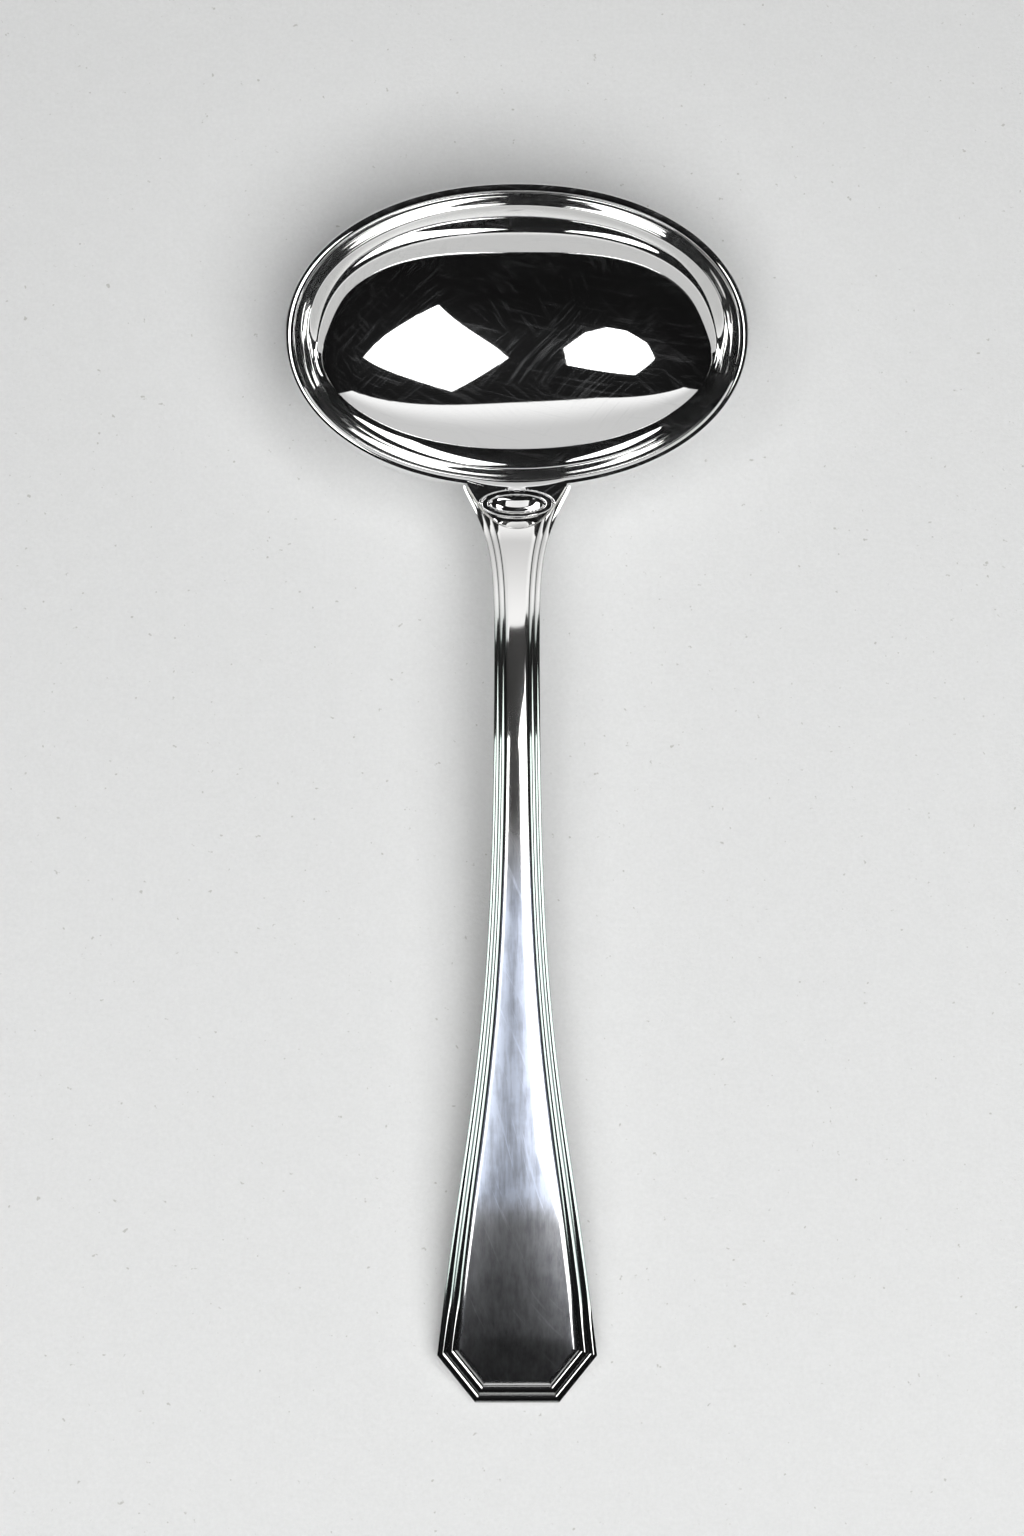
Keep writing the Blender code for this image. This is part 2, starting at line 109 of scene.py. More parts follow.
# Handle, seen from above. Distances run from the lip, or back from the end.
HANDLE_LENGTH = 136.0 * MM
ROOT_BITE = 6.0 * MM
WAIST_WIDTH = 6.6 * MM
NECK_OVERRUN = 0.57 * MM
NECK_CURVE = 1.3
END_WIDTH = 23.35 * MM
END_EDGE = 12.3 * MM
CLIP_LENGTH = 6.9 * MM
FLARE_FROM_END = 61.9 * MM
FLARE_SOFTNESS = 13.95 * MM
FLARE_SWELL = 0.51 * MM
SWELL_FROM_END = 24.2 * MM
SWELL_RUN = 20.6 * MM

# Handle, seen from the side with the lip level
ROOT_STAND = 0.35 * MM
RISE_AT = 8.5 * MM
RISE_SLOPE = 0.42
STEM_AT = 42.0 * MM
STEM_SLOPE = 0.12
BEND_FROM_END = 36.5 * MM
TIP_FROM_END = 6.5 * MM
TIP_SLOPE = -0.15
STEM_THICK = 3.8 * MM
END_THICK = 2.4 * MM
THICK_UNTIL = 26.0 * MM
THIN_FROM_END = 14.0 * MM
UNDERSIDE_ROUND = 0.45
UNDERSIDE_INSET = 0.6

# Threaded border, in thread widths
THREADS = 2
THREAD_LEAST = 0.635 * MM
THREAD_GROWTH = 0.0267
THREAD_RISE = 0.085  # worn low along the stem
END_RISE = 0.2
THREAD_STEP = 0.1
GROOVE_REACH = 0.24  # tarnish to either side of a groove, and painted shade beside the handle's outer edge
PANEL_STAND = 0.4
END_STAND = 0.55
WEAR_ENDS = (119.0 * MM, 129.0 * MM)  # from the lip
PANEL_SLOPE = 0.7
SLOPE_EASE = 1.5  # the slope is steep at the groove and eases out onto the panel
PANEL_CROWN = 0.055
CROWN_FADE = 5.0 * MM
CROWN_BEGINS = 19.0 * MM  # from the lip
CROWN_GROWS = 20.0 * MM

# What each point of the handle is marked with, for its finish
HANDLE_MARKS = ("panel", "threads", "groove")

# Where the border is left bright, as painted light at the neck and the end, and where fingers have rubbed
# the panel, from the lip
BRIGHT_UNTIL = (17.0 * MM, 27.0 * MM)
BRIGHT_FROM = (124.0 * MM, 129.0 * MM)
RUB_BEGINS = (50.0 * MM, 68.0 * MM)
RUB_ENDS = (109.0 * MM, 115.0 * MM)
TIP_RUB = 0.4  # share of the rubbing that is left at the end

# Scratches
STROKE_BEND = 0.3  # radians that they wander by
STROKE_BEND_SCALE = 30.0
STROKE_STRETCH = (0.035, 1.0, 0.3)
STROKE_SOFTNESS = 0.15

# Bowl's finish. Colours are shares of red, green and blue, and scales of noise are per metre.
BOWL_TONE = (0.95, 0.95, 0.945)
BOWL_ROUGHNESS = 0.03
BOWL_HAZE_TONE = (0.9, 0.91, 0.93)
BOWL_HAZE_ROUGHNESS = 0.4
BOWL_HAZE = 0.008  # share of haze between the swirls
# Swirls of the polishing mop: the way they run in degrees, their fineness and the share left bare
FIRST_SWIRLS = (35.0, 1500.0, 0.52)
SECOND_SWIRLS = (-50.0, 1900.0, 0.52)
FAINT_SWIRLS = (5.0, 1700.0, 0.55)
FAINT_STRENGTH = 0.7
SWIRL_CLOUDS = 60.0
FIRST_BEGIN = (0.45, 0.65)  # in the clouds from 0 to 1
SECOND_END = (0.4, 0.55)
SWIRL_HAZE = 0.06
SWIRL_DEPTH = 0.0003 * MM

# Handle's finish
PLAIN_TONE = (0.95, 0.945, 0.935)
# Painted shade: the threads along the stem take this darker, greenish tone, which dims the lamps'
# reflection in them; at the neck and the end they keep the plain tone
PAINTED_SHADE_TONE = (0.4, 0.455, 0.43)
# Grooves hold real tarnish; this lighter tone at the neck and the end is painted light, and the dark tone
# along the stem is tarnish darkened as painted shade
PAINTED_LIGHT_GROOVE = (0.38, 0.39, 0.38)
DARK_GROOVE = (0.035, 0.052, 0.048)
HANDLE_ROUGHNESS = 0.05
GROOVE_ROUGHNESS = 0.1
HANDLE_HAZE_TONE = (0.92, 0.9, 0.88)
# Painted reflection: the blue of the rubbed haze is the colour of a bluish light, not of the silver
PAINTED_BLUE_REFLECTION = (0.75, 0.82, 0.98)
RUBBED_ROUGHNESS = 0.3
HANDLE_HAZE = 0.03
PANEL_HAZE = 0.06
# What rubbing adds to the panel's haze: all over, in the hairlines, in clouds and in scuffs
RUB_HAZE = (0.25, 0.7, 0.3, 0.3)
FINE_HAIRLINES = (0.012, 2600.0)  # how far they are drawn out along the handle, and their fineness
COARSE_HAIRLINES = (0.02, 900.0)
COARSE_SHARE = 0.5
HAIRLINE_DEPTH = 0.001 * MM
RUB_CLOUDS = 150.0
CLEAR_NOISE = (0.3, 0.7)  # brings out the light and dark of a noise
SCUFFS = (55.0, 1300.0, 0.6)  # as for the swirls

# Solder's finish
SOLDER_TONES = ((0.62, 0.61, 0.58), (0.8, 0.79, 0.76))
SOLDER_ROUGHNESS = 0.25
SOLDER_UNEVENNESS = 0.15
SOLDER_GRAIN = 900.0
SOLDER_GRAIN_DEPTH = 0.01 * MM

# Cloth's finish
CLOTH_TONES = ((0.85, 0.855, 0.855), (0.68, 0.685, 0.68))
CLOTH_ROUGHNESS = 0.95
CLOTH_GLOSS = 0.1
CLOTH_SHADES = ((0.6, 1500.0), (0.2, 300.0), (0.2, 4.0))  # share and scale of its weave, mottle and patches
WEAVE_DEPTH = 0.1 * MM
SPECK_TONE = (0.55, 0.55, 0.53)
SPECK_SCALE = 700.0
SPECK_LEVELS = (0.68, 0.76)

# Fineness of the meshes
TONGUE_COLUMNS = 180
RIM_COLUMNS = 240
INSIDE_RINGS = 100
OUTSIDE_RINGS = 40
ROOM_RINGS = 24
WALL_CROWDING = 1.35
ROLL_STEPS = 8
LIP_STEPS = 74
EDGE_STEPS = 4
ROOT_STATIONS = 70
STEM_STATIONS = 220
THREAD_POINTS = 14
SLOPE_POINTS = 6
UNDER_STEPS = 14
PANEL_COLUMNS = 25
CRISP_ANGLE = math.radians(30.0)
HALVINGS = 40
NEARBY = 0.01 * MM
NEAR_TABLE = 0.002 * MM
PLACE_DIGITS = 7  # of a metre, at which two points are the same
CUTTER_HEIGHT = 20.0 * MM

# Camera, over the ladle with its lip level, measured from the middle of the bowl's mouth
CAMERA_PLACE = (-0.00075, -0.0985, 0.699)
CAMERA_TIP = math.radians(2.7)
CAMERA_LENS = 108.96
CAMERA_FILM = 36.0  # along the picture's long side

# Studio. Its lamps lie at tilts in degrees from straight above the level bowl, to the right and away.
STUDIO_HEIGHT = 1.0
RIGHT_LAMP = ((28, -34), (2, 16), (13, 30), (41, -3), (38, -19))
LEFT_LAMP = ((-12, 8), (-20, -8), (-27, -16), (-32, -17), (-35, -12), (-34, 1), (-26, 18), (-11, 17))
LAMP_STRENGTH = 3.2
BACKDROP_AT = 0.665  # beyond the bowl, at its fold
BACKDROP_TILT = 33.6  # of its top edge, at its fold
BACKDROP_FOLD = 0.19  # it is folded, and its ends lie farther away
BACKDROP_PLACES = (-1.3, -0.3, 1.3)  # its left end, its fold and its right end
BACKDROP_FOOT = -0.25
BACKDROP_BRIGHT_TILT = 50.0  # from here up it is lit more and more
BACKDROP_TOP = 1.0
BACKDROP_BODY = 0.6
# A lamp on the near side that lights the cloth, out of the silver's sight
NEAR_LAMP = (0.15, -0.54, 0.95)
NEAR_LAMP_SIZE = (0.9, 0.6)
NEAR_LAMP_STRENGTH = 6.4
ROOM_DARK = 0.005
ROOM_PALE = 0.4
NEAR_SHARE = 0.5  # of that paleness, at the left of the near side
PALE_UNTIL = 4.0  # degrees above the floor
PALE_SOFTNESS = 2.0
NEAR_TURN = (0.1, 0.5)  # parts of a direction, from the near side to the far one
RIGHT_TURN = (-0.3, 0.5)  # and from the left to the right
FLOOR_SIZE = 8.0
FLOOR_SINK = 0.05 * MM

bowl_low, bowl_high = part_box("bowl")
BOWL_WIDTH = bowl_high.x - bowl_low.x
BOWL_CENTRE_Y = HANDLE_LENGTH / 2
LIP_Y = BOWL_CENTRE_Y - BOWL_SPAN / 2
LIP_Z = BOWL_DEPTH + BOWL_WALL
POCKET_DEPTH = TONGUE_THICK + SOLDER_THICK + 2 * FIT_GAP
NECK_WIDTH = TONGUE_WIDTH + 2 * (FIT_GAP + SHOULDER_TIP)
NECK_RUN = TONGUE_REACH + NECK_OVERRUN
CLIP_AT = HANDLE_LENGTH - CLIP_LENGTH

Shell = namedtuple("Shell", "half_width half_span depth")
Column = namedtuple("Column", "cx cy reach")
Station = namedtuple("Station", "x s inward_x inward_s thread")

INSIDE = Shell(BOWL_WIDTH / 2 - LIP_WIDTH, BOWL_SPAN / 2 - LIP_WIDTH, BOWL_DEPTH)


def climb(slopes, at):
    """Height gained along a line whose slope changes evenly from place to place."""
    height = 0.0
    for (start, slope), (end, next_slope) in zip(slopes, slopes[1:]):
        run = min(max(at - start, 0.0), end - start)
        height += run * slope + run * run * (next_slope - slope) / (2 * (end - start))
    return height


def laying_down():
    """The move from a level lip to the ladle's place on the table, from the solder film and the bowl."""
    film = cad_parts["solder_film"].data
    face = max(film.polygons, key=lambda polygon: polygon.normal.z * polygon.area).normal
    roll = Matrix.Rotation(math.atan2(-face.y, face.z), 4, "X")
    far_lip = roll @ Vector((0.0, BOWL_CENTRE_Y + BOWL_SPAN / 2, LIP_Z))
    tip_drop = -TONGUE_REACH * climb(HOLLOW_SLOPES, 1.0)
    tongue_tip = roll @ Vector((0.0, LIP_Y - TONGUE_REACH, LIP_Z - tip_drop))
    return Matrix.Translation((0.0, bowl_low.y - tongue_tip.y, bowl_high.z - far_lip.z)) @ roll


LAID = laying_down()


class Wire:
    """A socket of a node tree. Arithmetic on wires adds Math nodes to the tree."""

    def __init__(self, tree, socket=None):
        self.tree = tree
        self.socket = socket

    def node(self, kind, settings=None, sockets=None, output=0):
        """A new node: first its settings, then values or wires for its sockets."""
        made = self.tree.nodes.new(kind)
        for name, value in (settings or {}).items():
            setattr(made, name, value)
        for name, value in (sockets or {}).items():
            socket = made.inputs[name]
            if isinstance(value, Wire):
                self.tree.links.new(value.socket, socket)
            else:
                socket.default_value = (*value, 1.0) if socket.type == "RGBA" else value
        return Wire(self.tree, made.outputs[output] if made.outputs else None)

    def math(self, operation, *terms):
        """A Math node on wires and numbers."""
        return self.node("ShaderNodeMath", {"operation": operation}, dict(enumerate(terms)))

    def __add__(self, other):
        return self.math("ADD", self, other)

    def __sub__(self, other):
        return self.math("SUBTRACT", self, other)

    def __rsub__(self, other):
        return self.math("SUBTRACT", other, self)

    def __mul__(self, other):
        return self.math("MULTIPLY", self, other)

    __radd__ = __add__
    __rmul__ = __mul__

    def between(self, low, high):
        """0 up to low, 1 from high on, and smooth between them."""
        sockets = {"Value": self, "From Min": low, "From Max": high}
        return self.node("ShaderNodeMapRange", {"interpolation_type": "SMOOTHSTEP"}, sockets)

    def axes(self):
        """The three parts of a vector."""
        parts = self.node("ShaderNodeSeparateXYZ", None, {"Vector": self})
        return [Wire(self.tree, socket) for socket in parts.socket.node.outputs]

    def stretched(self, scale):
        """A vector with each of its parts scaled."""
        return self.node("ShaderNodeVectorMath", {"operation": "MULTIPLY"}, {0: self, 1: scale})

    def turned(self, angle):
        """A place turned about the upright axis."""
        sockets = {"Vector": self, "Angle": angle}
        return self.node("ShaderNodeVectorRotate", {"rotation_type": "Z_AXIS"}, sockets)

    def noise(self, scale, detail=2.0, roughness=0.5):
        """Cloudy noise at a place, from 0 to 1."""
        sockets = {"Vector": self, "Scale": scale, "Detail": detail, "Roughness": roughness}
        return self.node("ShaderNodeTexNoise", None, sockets)

    def tint(self, first, second):
        """A colour that goes from the first to the second as this wire goes from 0 to 1."""
        sockets = {"Factor": self, 6: first, 7: second}
        return self.node("ShaderNodeMix", {"data_type": "RGBA"}, sockets, 2)

    def bump(self, height):
        """A normal for a surface raised by this wire times a height in metres."""
        sockets = {"Height": self, "Distance": height, "Strength": 1.0}
        return self.node("ShaderNodeBump", None, sockets)


def new_material(name):
    """An empty material and the wire that its nodes start from."""
    material = bpy.data.materials.new(name)
    material.use_nodes = True
    material.node_tree.nodes.clear()
    return material, Wire(material.node_tree)


def finished(start, shader):
    """Plugs a shader into the material's surface."""
    start.node("ShaderNodeOutputMaterial", None, {"Surface": shader})


def hair_strokes(place, turn, fineness, share):
    """Fine bent scratches that run one way, from 0 to 1; the share says how much is left bare."""
    bend = STROKE_BEND * place.noise(STROKE_BEND_SCALE, detail=1.0)
    drawn_out = place.turned(bend + math.radians(turn)).stretched(STROKE_STRETCH)
    return drawn_out.noise(fineness, roughness=0.6).between(share, share + STROKE_SOFTNESS)


def silver(start, tone, roughness, haze_tone, haze_roughness, haze, normal):
    """Polished silver under a share of wide haze from fine scratches."""
    polished = {"Base Color": tone, "Metallic": 1.0, "Roughness": roughness, "Normal": normal}
    hazy = {"Base Color": haze_tone, "Metallic": 1.0, "Roughness": haze_roughness, "Normal": normal}
    shaders = {
        0: haze,
        1: start.node("ShaderNodeBsdfPrincipled", None, polished),
        2: start.node("ShaderNodeBsdfPrincipled", None, hazy),
    }
    return start.node("ShaderNodeMixShader", None, shaders)


def mirror_silver():
    """Bowl: silver plate polished to a mirror, with mop swirls and a little haze."""
    material, start = new_material("mirror_silver")
    place = start.node("ShaderNodeTexCoord", None, None, "Object")
    clouds = place.noise(SWIRL_CLOUDS, detail=4.0, roughness=0.6)
    swirls = hair_strokes(place, *FIRST_SWIRLS) * clouds.between(*FIRST_BEGIN)
    swirls = swirls + hair_strokes(place, *SECOND_SWIRLS) * (1 - clouds.between(*SECOND_END))
    swirls = swirls + FAINT_STRENGTH * hair_strokes(place, *FAINT_SWIRLS)
    haze = BOWL_HAZE + SWIRL_HAZE * swirls
    scratched = swirls.bump(SWIRL_DEPTH)
    shader = silver(start, BOWL_TONE, BOWL_ROUGHNESS, BOWL_HAZE_TONE, BOWL_HAZE_ROUGHNESS, haze, scratched)
    finished(start, shader)
    return material


def hairlines(place, stretch, fineness):
    """Noise drawn out into lines along the handle."""
    return place.stretched((1.0, stretch, 1.0)).noise(fineness, detail=3.0, roughness=0.7)


def rows_at(s):
    """Where a distance from the lip lies along the table."""
    return (LAID @ Vector((0.0, LIP_Y - s, LIP_Z))).y


def threaded_silver():
    """Handle: silver plate, rubbed along its panel, with tarnished grooves between its threads. Along the
    stem the threads and grooves are darkened as painted shade, and so is the outer edge; the rubbed haze is
    tinted blue as a painted reflection.
    """
    material, start = new_material("threaded_silver")
    place = start.node("ShaderNodeTexCoord", None, None, "Object")
    panel, threads, groove = [
        start.node("ShaderNodeAttribute", {"attribute_name": name}, None, "Fac") for name in HANDLE_MARKS
    ]
    fine = hairlines(place, *FINE_HAIRLINES)
    coarse = hairlines(place, *COARSE_HAIRLINES).between(*CLEAR_NOISE)
    lines = COARSE_SHARE * coarse + (1 - COARSE_SHARE) * fine
    clouds = place.noise(RUB_CLOUDS, detail=4.0, roughness=0.65).between(*CLEAR_NOISE)
    scuffs = hair_strokes(place, *SCUFFS)
    along = place.axes()[1]
    neck = along.between(rows_at(BRIGHT_UNTIL[1]), rows_at(BRIGHT_UNTIL[0]))
    bright = neck + 1 - along.between(rows_at(BRIGHT_FROM[1]), rows_at(BRIGHT_FROM[0]))
    # Painted shade on the threads along the stem, wherever they are not left bright
    painted_shade_on_threads = threads * (1 - bright)
    # The grooves' tone: lighter at the neck and the end as painted light, darker along the stem as tarnish
    # and painted shade
    tarnish_and_painted_light = bright.tint(DARK_GROOVE, PAINTED_LIGHT_GROOVE)
    tone = groove.tint(painted_shade_on_threads.tint(PLAIN_TONE, PAINTED_SHADE_TONE), tarnish_and_painted_light)
    before_end = along.between(rows_at(RUB_ENDS[1]), rows_at(RUB_ENDS[0]))
    held = 1 - along.between(rows_at(RUB_BEGINS[1]), rows_at(RUB_BEGINS[0]))
    held = held * (TIP_RUB + (1 - TIP_RUB) * before_end)
    all_over, in_lines, in_clouds, in_scuffs = RUB_HAZE
    rub = all_over + in_lines * lines + in_clouds * clouds + in_scuffs * scuffs
    haze = panel * (PANEL_HAZE + held * rub) + HANDLE_HAZE
    # Painted reflection: where the panel is held, its haze is tinted blue
    haze_tone = held.tint(HANDLE_HAZE_TONE, PAINTED_BLUE_REFLECTION)
    roughness = HANDLE_ROUGHNESS + GROOVE_ROUGHNESS * groove
    scratched = (lines * panel).bump(HAIRLINE_DEPTH)
    shader = silver(start, tone, roughness, haze_tone, RUBBED_ROUGHNESS, haze, scratched)
    finished(start, shader)
    return material


def dull_solder():
    """Seam: silver solder, filed flush and left duller than the plate."""
    material, start = new_material("dull_solder")
    place = start.node("ShaderNodeTexCoord", None, None, "Object")
    grain = place.noise(SOLDER_GRAIN, detail=3.0)
    sockets = {
        "Base Color": grain.tint(*SOLDER_TONES),
        "Metallic": 1.0,
        "Roughness": SOLDER_ROUGHNESS + SOLDER_UNEVENNESS * grain,
        "Normal": grain.bump(SOLDER_GRAIN_DEPTH),
    }
    finished(start, start.node("ShaderNodeBsdfPrincipled", None, sockets))
    return material


def pale_cloth():
    """Floor: a pale cloth with a fine weave and a few specks."""
    material, start = new_material("pale_cloth")
    place = start.node("ShaderNodeTexCoord", None, None, "Object")
    (weave_share, weave_scale), (mottle_share, mottle_scale), (patch_share, patch_scale) = CLOTH_SHADES
    weave = place.noise(weave_scale, detail=3.0, roughness=0.7)
    mottle = place.noise(mottle_scale, detail=3.0)
    shade = weave_share * weave + mottle_share * mottle + patch_share * place.noise(patch_scale)
    specks = place.noise(SPECK_SCALE, roughness=0.7).between(*SPECK_LEVELS)
    sockets = {
        "Base Color": specks.tint(shade.tint(*CLOTH_TONES), SPECK_TONE),
        "Roughness": CLOTH_ROUGHNESS,
        "Specular IOR Level": CLOTH_GLOSS,
        "Normal": weave.bump(WEAVE_DEPTH),
    }
    finished(start, start.node("ShaderNodeBsdfPrincipled", None, sockets))
    return material


def glow(name, strength):
    """Lamp: the same light all over."""
    material, start = new_material(name)
    sockets = {"Color": (strength, strength, strength), "Strength": 1.0}
    finished(start, start.node("ShaderNodeEmission", None, sockets))
    return material


def backdrop_glow(bright_from, top):
    """Backdrop: pale, and brightest along its top edge."""
    material, start = new_material("backdrop_glow")
    height = start.node("ShaderNodeTexCoord", None, None, "Object").axes()[2]
    light = BACKDROP_BODY + (BACKDROP_TOP - BACKDROP_BODY) * height.between(bright_from, top)
    finished(start, start.node("ShaderNodeEmission", None, {"Color": light, "Strength": 1.0}))
    return material


def set_room():
    """The room round the studio: dark, but pale near the floor, and less so on the near side."""
    world = bpy.data.worlds.new("room")
    bpy.context.scene.world = world
    world.use_nodes = True
    world.node_tree.nodes.clear()
    start = Wire(world.node_tree)
    way = start.node("ShaderNodeTexCoord", None, None, "Generated")
    right, beyond, height = way.axes()
    near = 1 - beyond.between(*NEAR_TURN)
    near_pale = NEAR_SHARE * (1 - right.between(*RIGHT_TURN))
    pale = ROOM_PALE * (1 - near * (1 - near_pale))
    low = math.sin(math.radians(PALE_UNTIL - PALE_SOFTNESS))
    high = math.sin(math.radians(PALE_UNTIL + PALE_SOFTNESS))
    light = pale + (ROOM_DARK - pale) * height.between(low, high)
    shader = start.node("ShaderNodeBackground", None, {"Color": light, "Strength": 1.0})
    start.node("ShaderNodeOutputWorld", None, {"Surface": shader})


def linked(name, mesh, material):
    mesh.materials.append(material)
    obj = bpy.data.objects.new(name, mesh)
    bpy.context.collection.objects.link(obj)
    return obj


def closed_mesh(name, points, faces):
    """A closed mesh facing out, shaded smooth apart from its crisp edges."""
    mesh = bpy.data.meshes.new(name)
    mesh.from_pydata(points, [], faces)
    shape = bmesh.new()
    shape.from_mesh(mesh)
    bmesh.ops.recalc_face_normals(shape, faces=shape.faces)
    shape.to_mesh(mesh)
    shape.free()
    mesh.shade_smooth()
    mesh.set_sharp_from_angle(angle=CRISP_ANGLE)
    return mesh


def outside(grow):
    """The bowl's outside, grown all round."""
    return Shell(BOWL_WIDTH / 2 + grow, BOWL_SPAN / 2 + grow, BOWL_DEPTH + BOWL_WALL + grow)


def signed_power(value, power):
    return math.copysign(abs(value) ** power, value)


def tongue_columns(grow):
    """Unit points of the rim along the tongue, with the tongue's reach at each."""
    tongue_half = TONGUE_WIDTH / 2 + grow
    columns = []
    for i in range(TONGUE_COLUMNS + 1):
        swing = math.sin(math.pi * (i / TONGUE_COLUMNS - 0.5))
        cx = swing * tongue_half / (BOWL_WIDTH / 2 + grow)
        cy = -((1 - abs(cx) ** PLAN_SQUARENESS) ** (1 / PLAN_SQUARENESS))
        columns.append(Column(cx, cy, TONGUE_REACH * (1 - abs(swing) ** TONGUE_FULLNESS)))
    return columns


def rim_columns(grow):
    """Unit points all round the rim, with the tongue first."""
    columns = tongue_columns(grow)
    corner = math.acos(columns[-1].cx ** (PLAN_SQUARENESS / 2))
    for i in range(1, RIM_COLUMNS):
        angle = -corner + (math.pi + 2 * corner) * i / RIM_COLUMNS
        cx = signed_power(math.cos(angle), 2 / PLAN_SQUARENESS)
        cy = signed_power(math.sin(angle), 2 / PLAN_SQUARENESS)
        columns.append(Column(cx, cy, 0.0))
    return columns


def wall_drop(shell, column, share):
    """How far the wall lies below the lip, at a share of the way out along a column."""
    x = column.cx * shell.half_width * share
    y = column.cy * shell.half_span * share
    fullness = WALL_FULLNESS - NEAR_FULLNESS * math.tanh(y / SWEEP_RUN)
    fullness += END_FULLNESS * (x / shell.half_width) ** 2 + SIDE_FULLNESS * (y / shell.half_span) ** 2
    lean = 1 + FLOOR_LEAN * y / shell.half_span
    return shell.depth * max(0.0, 1 - share**2) ** (1 / fullness) * lean


def share_at_drop(shell, column, drop):
    """How far out along a column the wall comes up to a given drop below the lip."""
    low, high = 0.0, 1.0
    for _ in range(HALVINGS):
        middle = (low + high) / 2
        if wall_drop(shell, column, middle) > drop:
            low = middle
        else:
            high = middle
    return low


def wall_points(shell, column, drop, rings):
    """Points up the wall from the first ring round the middle to a given drop below the lip."""
    steepest = math.asin(share_at_drop(shell, column, drop))
    points = []
    for ring in range(1, rings + 1):
        share = math.sin(steepest * (1 - (1 - ring / rings) ** WALL_CROWDING))
        x = column.cx * shell.half_width * share
        y = BOWL_CENTRE_Y + column.cy * shell.half_span * share
        points.append(Vector((x, y, LIP_Z - wall_drop(shell, column, share))))
    return points


def roll_radius(column):
    """The wall rolls over into the lip, and more roundly into the tongue where there is one."""
    return LIP_ROLL + (ROLL_RADIUS - LIP_ROLL) * column.reach / TONGUE_REACH


def hollow_drop(column, along):
    """Depth of the tongue's hollow, which fades out to either side; the rest of the lip is level."""
    if column.reach <= 0.0:
        return 0.0
    share = max(0.0, 1 - abs(column.cx * BOWL_WIDTH / HOLLOW_WIDTH) ** HOLLOW_SQUARENESS) ** 2
    return -share * TONGUE_REACH * climb(HOLLOW_SLOPES, along)


def ring_rise(x, s):
    """Height of the fine rings at a place beside the hollow's middle and a distance from the lip."""
    y = s - RING_MIDDLE
    rise = 0.0
    for half_width, half_length in HOLLOW_RINGS:
        size = math.hypot(x / half_width, y / half_length)
        if size > 0.0:
            off = (size - 1) * size / math.hypot(x / half_width**2, y / half_length**2)
            rise += RING_RISE * max(0.0, 1 - (off / RING_RUN) ** 2) ** 2
    return rise


def lip_points(column):
    """Points round the wall's roll, then over the lip or the hollowed tongue to just short of its edge."""
    edge = outside(0.0)
    start = Vector((column.cx * INSIDE.half_width, BOWL_CENTRE_Y + column.cy * INSIDE.half_span, LIP_Z))
    run_x = column.cx * edge.half_width - column.cx * INSIDE.half_width
    run_y = column.cy * edge.half_span - column.reach - column.cy * INSIDE.half_span
    radius = roll_radius(column)
    length = math.hypot(run_x, run_y)
    last = 1 - LIP_ARRIS / length
    profile = []
    for step in range(1, ROLL_STEPS):
        turn = math.pi / 2 * step / ROLL_STEPS
        profile.append((radius / length * (1 - math.cos(turn)), radius * (1 - math.sin(turn))))
    for step in range(LIP_STEPS + 1):
        along = step / LIP_STEPS
        out = radius / length + (last - radius / length) * along
        drop = hollow_drop(column, along)
        if column.reach > 0.0:
            drop -= ring_rise(start.x + run_x * out, LIP_Y - start.y - run_y * out)
        profile.append((out, drop))
    return [start + Vector((run_x * out, run_y * out, -drop)) for out, drop in profile]


def outer_points(column, grow, under, rings):
    """Points down the lip's or the tongue's edge, back to the wall, and down it to the middle."""
    shell = outside(grow)
    tongue_share = min(1.0, column.reach / under)
    x = column.cx * shell.half_width
    y = BOWL_CENTRE_Y + column.cy * shell.half_span - column.reach
    upper = Vector((x, y, LIP_Z - LIP_ARRIS - hollow_drop(column, 1.0)))
    lower = Vector((x, y, LIP_Z - under * (LIP_SHARE + (1 - LIP_SHARE) * tongue_share)))
    wall = wall_points(shell, column, under, rings)[::-1]
    points = [upper.lerp(lower, step / EDGE_STEPS) for step in range(EDGE_STEPS)]
    points += [lower.lerp(wall[0], step / EDGE_STEPS) for step in range(EDGE_STEPS)]
    return points + wall


def capped_grid(rows_by_column, first_cap, last_cap):
    """Points and faces of rows that run round from column to column, closed by a point at either end."""
    points = [point for rows in rows_by_column for point in rows]
    count = len(rows_by_column[0])
    columns = len(rows_by_column)
    first = len(points)
    points += [first_cap, last_cap]
    faces = []
    for column in range(columns):
        here = column * count
        beside = (column + 1) % columns * count
        faces.append((first, here, beside))
        faces.append((first + 1, beside + count - 1, here + count - 1))
        for row in range(count - 1):
            faces.append((here + row, here + row + 1, beside + row + 1, beside + row))
    return points, faces


def make_bowl():
    """The pressed shell: up the inside, over the lip and the tongue, and down the outside."""
    rows = []
    for column in rim_columns(0.0):
        row = wall_points(INSIDE, column, roll_radius(column), INSIDE_RINGS)
        row += lip_points(column)
        rows.append(row + outer_points(column, 0.0, TONGUE_THICK, OUTSIDE_RINGS))
    floor = Vector((0.0, BOWL_CENTRE_Y, LIP_Z - BOWL_DEPTH))
    foot = Vector((0.0, BOWL_CENTRE_Y, 0.0))
    mesh = closed_mesh("polished_bowl", *capped_grid(rows, floor, foot))
    lay_down(mesh)
    return linked("polished_bowl", mesh, mirror_silver())


